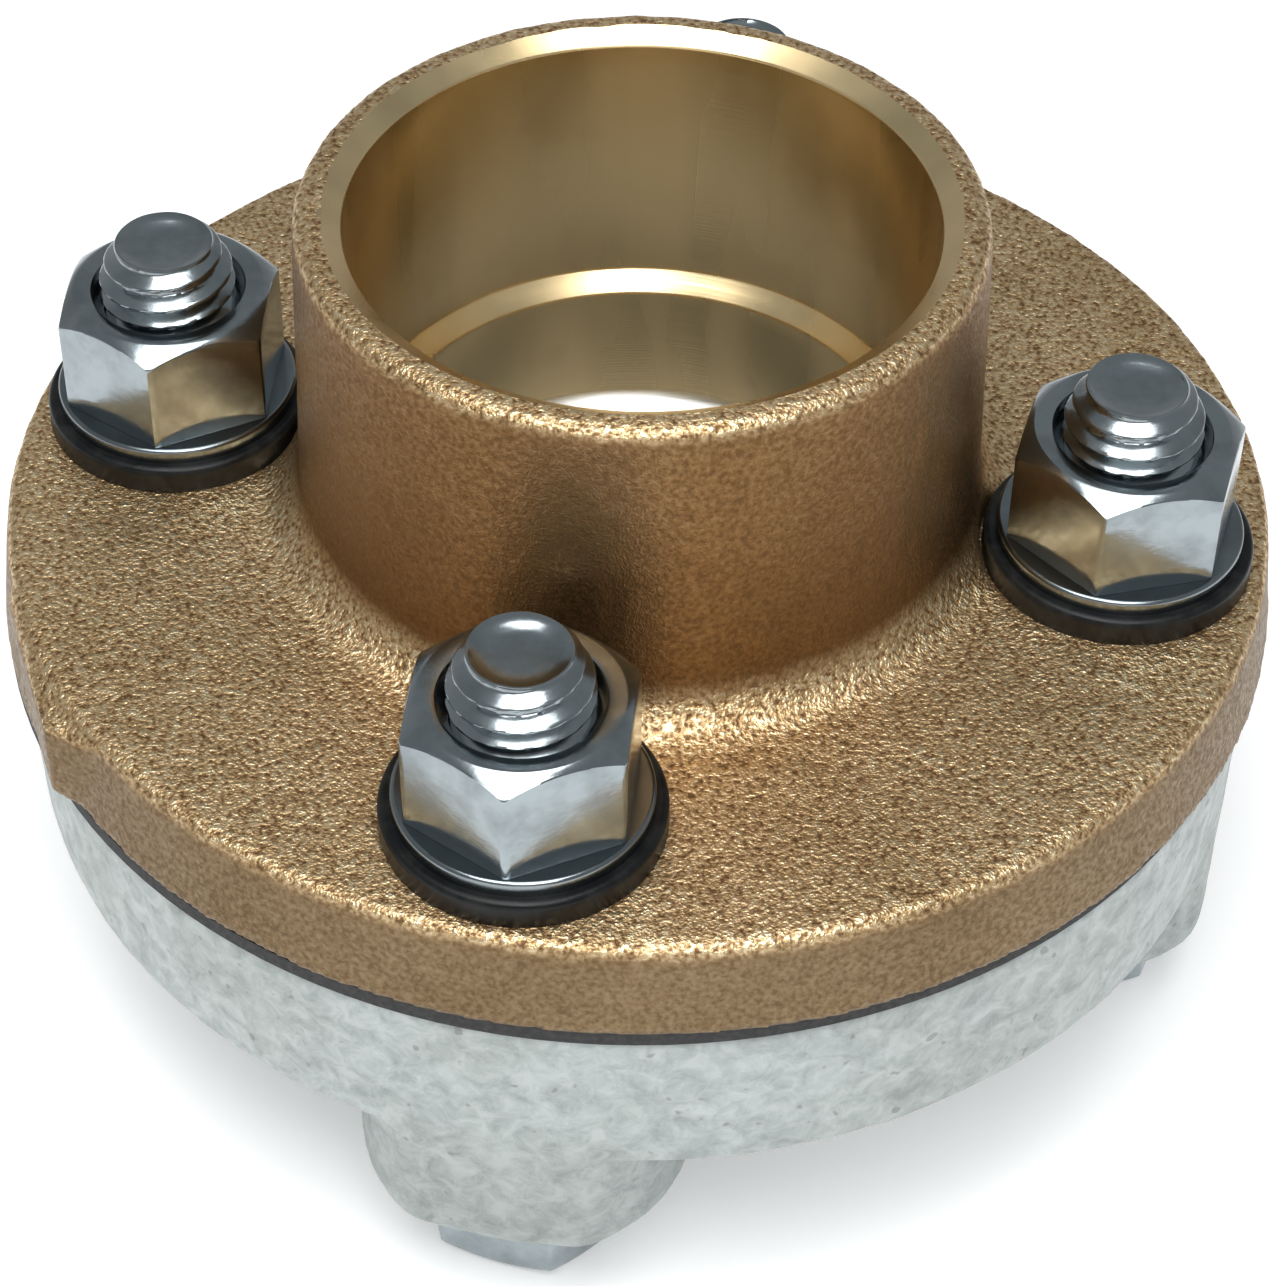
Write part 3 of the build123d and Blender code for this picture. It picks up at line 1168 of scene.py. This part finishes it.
@dataclass
class ThreadedSet:
    """A bolt with its nut, at one place of the pattern."""

    number: int
    head_angle: float
    nut_angle: float
    point_drop: float = 0.0
    head_height: float = 9.9 * MM
    head_collar: float = 0.5 * MM
    nut_height: float = 13.6 * MM
    thread_length: float = 40 * MM
    shank_start: float = 4 * MM
    under_head: float = 0.3 * MM
    thread_runout: float = 1.5 * BOLTS.pitch
    tip_radius: float = 6.25 * MM
    tip_slope: float = 0.46
    tip_depth: float = 0.75
    tip_round: float = 0.12 * MM
    tip_dish: tuple[tuple[float, float], ...] = (
        (0.86, 0.10),
        (0.78, 0.30),
        (0.68, 0.58),
        (0.55, 0.78),
        (0.3, 0.86),
        (0.04, 0.88),
    )
    nut_minor_radius: float = 6.9 * MM
    thread_clearance: float = 0.07 * MM
    edge: float = 0.22 * MM
    nut_cone_share: float = 1.35
    mouth_margin: float = 1.25 * MM
    mouth_slope: float = 0.62
    mouth_depth: float = 0.2 * MM
    hexagon: HexForm = field(default_factory=HexForm)

    def rows(self, rings: Sequence[tuple[np.ndarray, np.ndarray]]) -> np.ndarray:
        """Turn rings into rows of points round this bolt.

        Args:
            rings: Radius and height of each ring, at each place round it.

        Returns:
            Array of rings by places by XYZ.
        """
        x, y = BOLTS.centre(self.number - 1)
        theta = self.hexagon.theta
        return np.array([
            np.stack((x + r * np.cos(theta), y + r * np.sin(theta), z), -1)
            for r, z in rings
        ])

    def ring(self, radius: float | np.ndarray,
             height: float | np.ndarray) -> tuple[np.ndarray, np.ndarray]:
        """Make one ring.

        Args:
            radius: Radius, one for all or one for each place.
            height: Height, one for all or one for each place.

        Returns:
            Radius and height at each place.
        """
        blank = np.zeros(self.hexagon.around)
        return blank + radius, blank + height

    def build_bolt(self, palette: Palette) -> None:
        """Make the bolt: head, shank and rolled thread.

        Args:
            palette: Finishes of the union.
        """
        form = self.hexagon
        outline = form.radius(math.radians(self.head_angle))
        drop = form.drop(outline)
        seat, point = BOLTS.head_seat, BOLTS.point - self.point_drop
        low = seat - self.head_height
        shelf = seat - self.head_collar
        edge = self.edge
        rings = [self.ring(r * form.face_radius, low) for r in (0.02, 0.35, 0.7, 0.94)]
        rings += [
            self.ring(form.face_radius - edge, low),
            self.ring(form.face_radius, low + edge * 0.15),
            self.ring(outline - edge * 0.9, low + drop - edge * 0.5),
            self.ring(outline - edge * 0.25, low + drop),
            self.ring(outline, low + drop + edge * 0.9),
        ]
        rings += [self.ring(outline, low + drop + (shelf - edge - low - drop) * t)
                  for t in (0.25, 0.5, 0.75, 1.0)]
        rings += [
            self.ring(outline - edge * 0.3, shelf - edge * 0.3),
            self.ring(outline - edge, shelf),
            self.ring(form.face_radius + edge, shelf),
            self.ring(form.face_radius, shelf + edge * 0.5),
            self.ring(form.face_radius, seat),
            self.ring(BOLTS.radius + self.under_head, seat),
            self.ring(BOLTS.radius, seat + self.under_head),
        ]
        start = point - self.thread_length
        shank = np.linspace(seat + self.shank_start, start, 7, endpoint=False)
        rings += [self.ring(BOLTS.radius, z) for z in shank]
        for z in np.arange(start, point - self.tip_round, BOLTS.pitch / 18):
            surface = BOLTS.thread_radius(form.theta, form.theta * 0 + z - seat)
            groove = BOLTS.radius - surface
            fade = min(1.0, (z - start) / self.thread_runout)
            crest = min(BOLTS.radius, self.tip_radius + (point - z) * self.tip_slope)
            worn = (crest - self.tip_radius) / (BOLTS.radius - self.tip_radius)
            fade *= self.tip_depth + (1 - self.tip_depth) * worn
            rings.append((crest - groove * fade, np.full(form.around, z)))
        tip = rings[-1][0]
        rings += [
            (tip - self.tip_round, np.full(form.around, point)),
            (tip * 0.93, np.full(form.around, point - 0.02 * MM)),
        ]
        rings += [self.ring(self.tip_radius * share, point - depth * MM)
                  for share, depth in self.tip_dish]
        mesh = polar_mesh(f"hex_bolt_{self.number}", self.rows(rings), loop=False)
        mesh.materials.append(palette.zinc_forged)
        crease(mesh, SHARP_TURN)
        obj = link_mesh(f"hex_bolt_{self.number}", mesh)
        body = f"bolt_{self.number}"
        place_piece(obj, f"{body}_body", "zinc_steel", body)

    def build_nut(self, palette: Palette) -> None:
        """Make the nut, chamfered at its upper end and threaded inside.

        Args:
            palette: Finishes of the union.
        """
        form = self.hexagon
        outline = form.radius(math.radians(self.nut_angle))
        drop = form.drop(outline) * self.nut_cone_share
        low, high = BOLTS.nut_seat, BOLTS.nut_seat + self.nut_height
        edge = self.edge
        mouth = BOLTS.radius + self.mouth_margin
        body = high - low - drop - edge * 1.5
        rings = [
            self.ring(mouth - edge * 0.3, low + edge * 0.4),
            self.ring(mouth + edge, low),
            self.ring(outline - edge * 0.6, low),
            self.ring(outline - edge * 0.15, low + edge * 0.15),
        ]
        rings += [self.ring(outline, low + edge * 0.6 + body * t)
                  for t in (0.0, 0.2, 0.4, 0.6, 0.8, 1.0)]
        rings += [
            self.ring(outline - edge * 0.25, high - drop),
            self.ring(outline - edge * 0.9, high - drop + edge * 0.5),
            self.ring(form.face_radius, high - edge * 0.15),
            self.ring(form.face_radius - edge, high),
            self.ring(mouth + edge, high),
            self.ring(mouth - edge * 0.3, high - edge * 0.4),
        ]
        for z in np.arange(high - 0.5 * MM, low + 0.4 * MM, -BOLTS.pitch / 14):
            bore = BOLTS.thread_radius(form.theta, form.theta * 0 + z - BOLTS.head_seat)
            bore = np.clip(bore + self.thread_clearance, self.nut_minor_radius, None)
            depth = min(high - z, z - low)
            cone = mouth - max(depth - self.mouth_depth, 0) * self.mouth_slope
            rings.append((np.maximum(bore, cone), np.full(form.around, z)))
        mesh = polar_mesh(f"hex_nut_{self.number}", self.rows(rings), loop=True)
        mesh.materials.append(palette.zinc_forged)
        crease(mesh, SHARP_TURN)
        obj = link_mesh(f"hex_nut_{self.number}", mesh)
        place_piece(obj, f"nut_{self.number}_body", "zinc_steel", f"nut_{self.number}")


@dataclass
class InsulatedSeat:
    """The plastic bushing and the washer under one nut."""

    number: int

    def dress(self, palette: Palette) -> None:
        """Give the two CAD nodes their finishes.

        Args:
            palette: Finishes of the union.
        """
        dress_node(f"insulating_bushing_{self.number}", palette.plastic)
        dress_node(f"washer_{self.number}", palette.zinc_pressed)


# ---- Studio --------------------------------------------------------------------------
@dataclass(frozen=True)
class Softbox:
    """A rectangular light that faces a point."""

    name: str
    place: Place
    aim: Place
    size: tuple[float, float]
    watts: float

    def hang(self) -> None:
        """Put the light into the scene."""
        data = bpy.data.lights.new(self.name, "AREA")
        data.shape = "RECTANGLE"
        data.size, data.size_y = self.size
        data.energy = self.watts
        obj = bpy.data.objects.new(self.name, data)
        bpy.context.scene.collection.objects.link(obj)
        obj.location = self.place
        direction = Vector(self.aim) - Vector(self.place)
        obj.rotation_euler = direction.to_track_quat("-Z", "Y").to_euler()


SOFTBOXES = (
    Softbox("key_softbox", (-0.05, -0.25, 0.9), (0, 0, 0.05), (0.60, 0.6), 6.8),
    Softbox("front_softbox", (0.10, -0.56, 0.75), (0, 0, 0.05), (0.42, 0.24), 1.1),
    Softbox("low_softbox", (-0.2, -1.2, 0.16), (0, 0, 0.10), (1.3, 0.30), 1.1),
)


@dataclass
class Studio:
    """Pale floor, soft lights and the camera."""

    eye: Place = (0.0, -0.3115, 0.3386)
    target: Place = (0.00045, 0.0, 0.03836)
    roll: float = math.radians(0.88)
    lens: float = 97.435
    sensor: float = 36.0
    clip: tuple[float, float] = (0.01, 10.0)
    floor_half: float = 2.5
    floor_colour: Colour = (0.97, 0.97, 0.97)
    floor_roughness: float = 0.9
    floor_specular: float = 0.1
    floor_glow: float = 0.30
    horizon: Colour = (0.42, 0.42, 0.42)
    low_sky: tuple[float, Colour] = (0.30, (0.33, 0.335, 0.34))
    high_sky: tuple[float, Colour] = (0.62, (0.27, 0.29, 0.30))

    def camera(self) -> None:
        """Aim the camera, with its slight roll."""
        data = bpy.data.cameras.new("camera")
        data.lens, data.sensor_width, data.sensor_fit = self.lens, self.sensor, "AUTO"
        data.clip_start, data.clip_end = self.clip
        obj = bpy.data.objects.new("camera", data)
        bpy.context.scene.collection.objects.link(obj)
        forward = (Vector(self.target) - Vector(self.eye)).normalized()
        side = forward.cross(Vector((0, 0, 1))).normalized()
        above = side.cross(forward)
        right = math.cos(self.roll) * side + math.sin(self.roll) * above
        up = -math.sin(self.roll) * side + math.cos(self.roll) * above
        obj.matrix_world = Matrix((
            (right.x, up.x, -forward.x, self.eye[0]),
            (right.y, up.y, -forward.y, self.eye[1]),
            (right.z, up.z, -forward.z, self.eye[2]),
            (0, 0, 0, 1),
        ))
        bpy.context.scene.camera = obj

    def floor(self) -> None:
        """Lay the pale floor."""
        half = self.floor_half
        mesh = bpy.data.meshes.new("floor")
        mesh.from_pydata([(-half, -half, 0), (half, -half, 0), (half, half, 0),
                          (-half, half, 0)], [], [(0, 1, 2, 3)])
        material = bpy.data.materials.new("pale_floor")
        material.use_nodes = True
        shader = material.node_tree.nodes["Principled BSDF"]
        shader.inputs["Base Color"].default_value = (*self.floor_colour, 1)
        shader.inputs["Roughness"].default_value = self.floor_roughness
        shader.inputs["Specular IOR Level"].default_value = self.floor_specular
        shader.inputs["Emission Color"].default_value = (*WHITE, 1)
        shader.inputs["Emission Strength"].default_value = self.floor_glow
        mesh.materials.append(material)
        link_mesh("floor", mesh)

    def sky(self) -> None:
        """Surround the scene with a dome that is pale low down and dim above."""
        world = bpy.data.worlds.new("dome")
        bpy.context.scene.world = world
        world.use_nodes = True
        tree = world.node_tree
        place = tree.nodes.new("ShaderNodeTexCoord")
        split = tree.nodes.new("ShaderNodeSeparateXYZ")
        ramp = tree.nodes.new("ShaderNodeValToRGB")
        first, last = ramp.color_ramp.elements
        first.position, first.color = 0.0, (*self.horizon, 1)
        last.position, last.color = self.high_sky[0], (*self.high_sky[1], 1)
        middle = ramp.color_ramp.elements.new(self.low_sky[0])
        middle.color = (*self.low_sky[1], 1)
        background = tree.nodes["Background"]
        tree.links.new(place.outputs["Generated"], split.inputs[0])
        tree.links.new(split.outputs["Z"], ramp.inputs["Fac"])
        tree.links.new(ramp.outputs["Color"], background.inputs["Color"])
        background.inputs["Strength"].default_value = 1.0

    def build(self) -> None:
        """Set up the whole studio."""
        self.floor()
        self.sky()
        for softbox in SOFTBOXES:
            softbox.hang()
        self.camera()
        settings = bpy.context.scene.view_settings
        settings.view_transform = "Standard"
        settings.look = "None"


# Direction of one corner of each head and nut, in degrees, and how much shorter each
# bolt is at its point.
HEAD_ANGLES = (-77.7, 10.0, 41.0, -22.0)
NUT_ANGLES = (-95.9, -107.0, -80.0, -94.5)
POINT_DROPS = (0.0, 0.0, 0.7 * MM, 0.0)


def main() -> None:
    """Build every piece in order."""
    palette = Palette()
    SolderFlange().build(palette)
    ThreadedFlange().build(palette)
    dress_node("insulating_gasket", palette.rubber)
    for number, (head, nut) in enumerate(zip(HEAD_ANGLES, NUT_ANGLES), start=1):
        fastening = ThreadedSet(number, head, nut, POINT_DROPS[number - 1])
        fastening.build_bolt(palette)
        fastening.build_nut(palette)
        InsulatedSeat(number).dress(palette)
    Studio().build()


if __name__ == "__main__":
    main()
